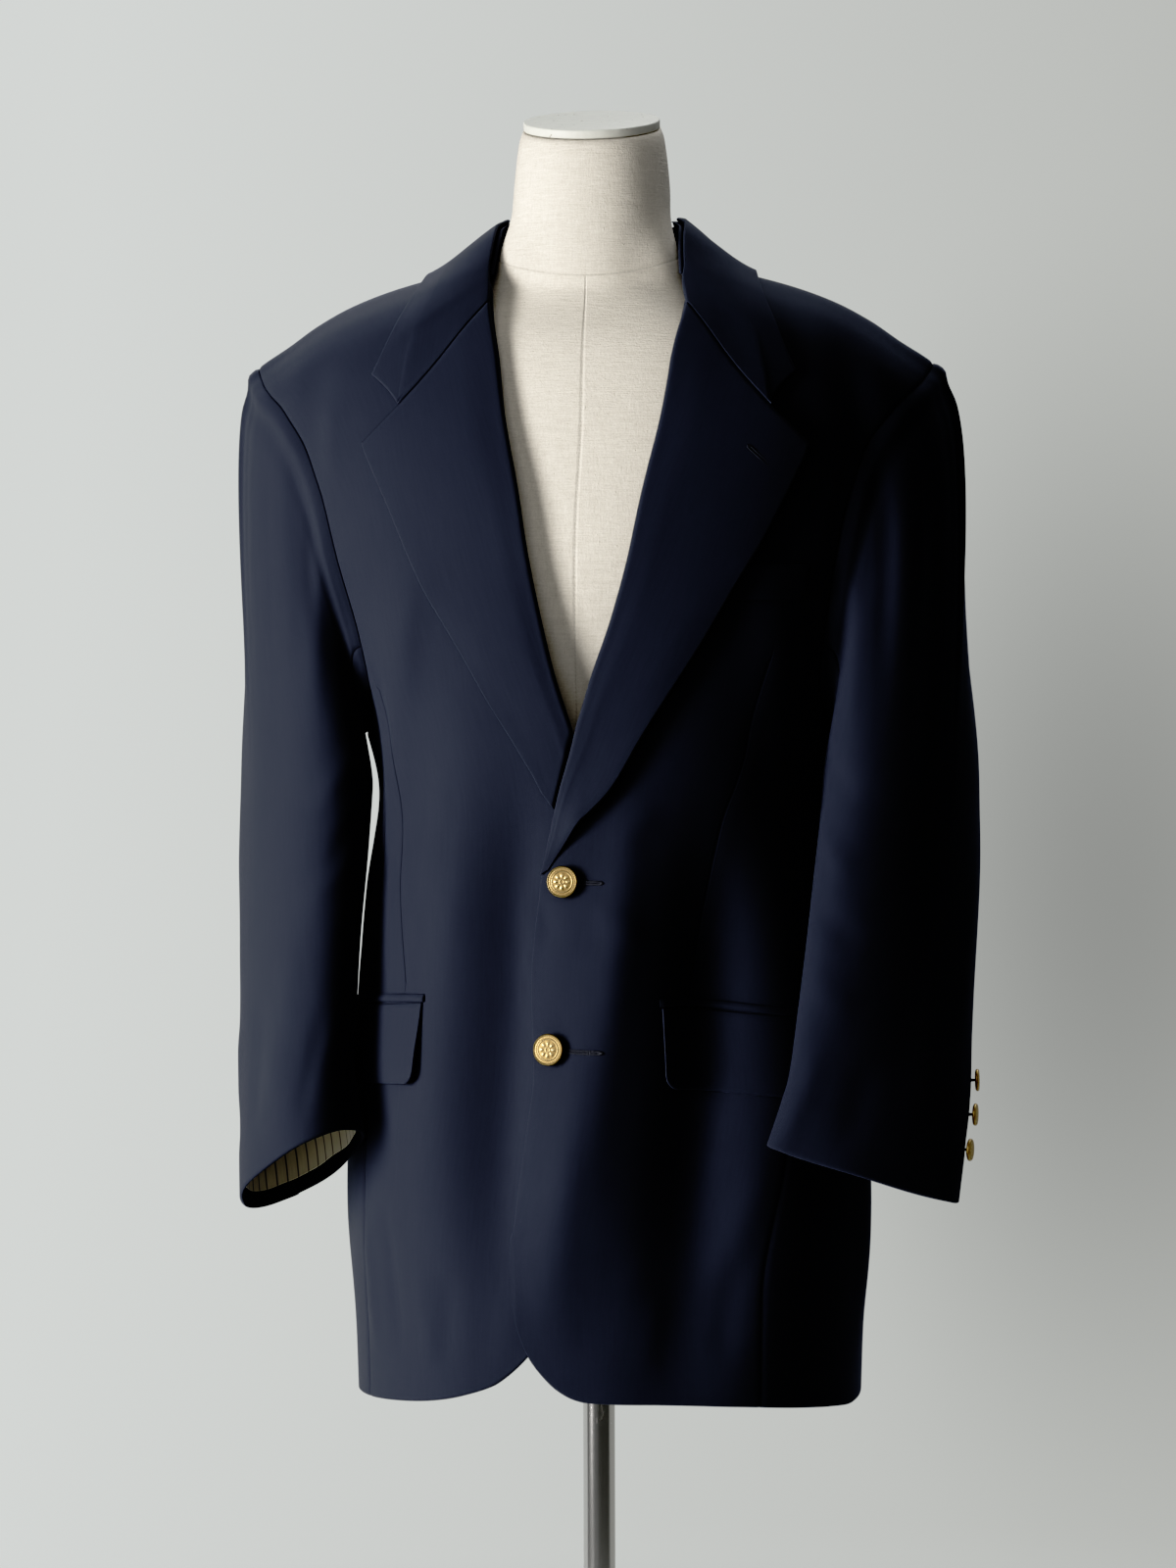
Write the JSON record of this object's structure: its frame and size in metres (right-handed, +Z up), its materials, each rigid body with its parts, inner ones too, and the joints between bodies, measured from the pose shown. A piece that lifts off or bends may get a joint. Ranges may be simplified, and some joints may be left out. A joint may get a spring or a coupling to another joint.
{
  "type": "single-breasted blazer on a limbless dress form",
  "caption": "Single-breasted notch-lapel blazer with flap pockets, chest welt and brass buttons, worn by a limbless linen dress form on a pole and round base",
  "frame": {"origin": "the middle of the base plate's underside, on the pole's axis", "axes": "+Z up along the pole, -Y towards the blazer's front, +X towards the wearer's left"},
  "size_m": [0.5311, 0.36, 1.5717],
  "materials": {
    "navy_wool": "matte twill",
    "striped_satin": "satin",
    "linen": "matte slubby linen",
    "pale_brass": "satin",
    "cap_paint": "smooth, matte",
    "chrome": "polished",
    "steel": "satin"
  },
  "bodies": {
    "root": {"front_left": "navy_wool", "front_right": "navy_wool", "side_panel_left": "navy_wool", "side_panel_right": "navy_wool", "back_left": "navy_wool", "back_right": "navy_wool", "top_sleeve_left": "navy_wool", "top_sleeve_right": "navy_wool", "under_sleeve_left": "navy_wool", "under_sleeve_right": "navy_wool", "lapel_left": "navy_wool", "lapel_right": "navy_wool", "collar_fall": "navy_wool", "collar_stand": "navy_wool", "chest_welt": "navy_wool", "flap_left": "navy_wool", "flap_right": "navy_wool", "jet_left": "navy_wool", "jet_right": "navy_wool", "front_button_upper": "pale_brass", "front_button_lower": "pale_brass", "cuff_button_left_1": "pale_brass", "cuff_button_left_2": "pale_brass", "cuff_button_left_3": "pale_brass", "cuff_button_right_1": "pale_brass", "cuff_button_right_2": "pale_brass", "cuff_button_right_3": "pale_brass", "sleeve_lining_right": "striped_satin", "form_torso": "linen", "neck_cap": "cap_paint", "pole": "chrome", "pole_socket": "chrome", "base_plate": "steel"}
  },
  "joints": []
}
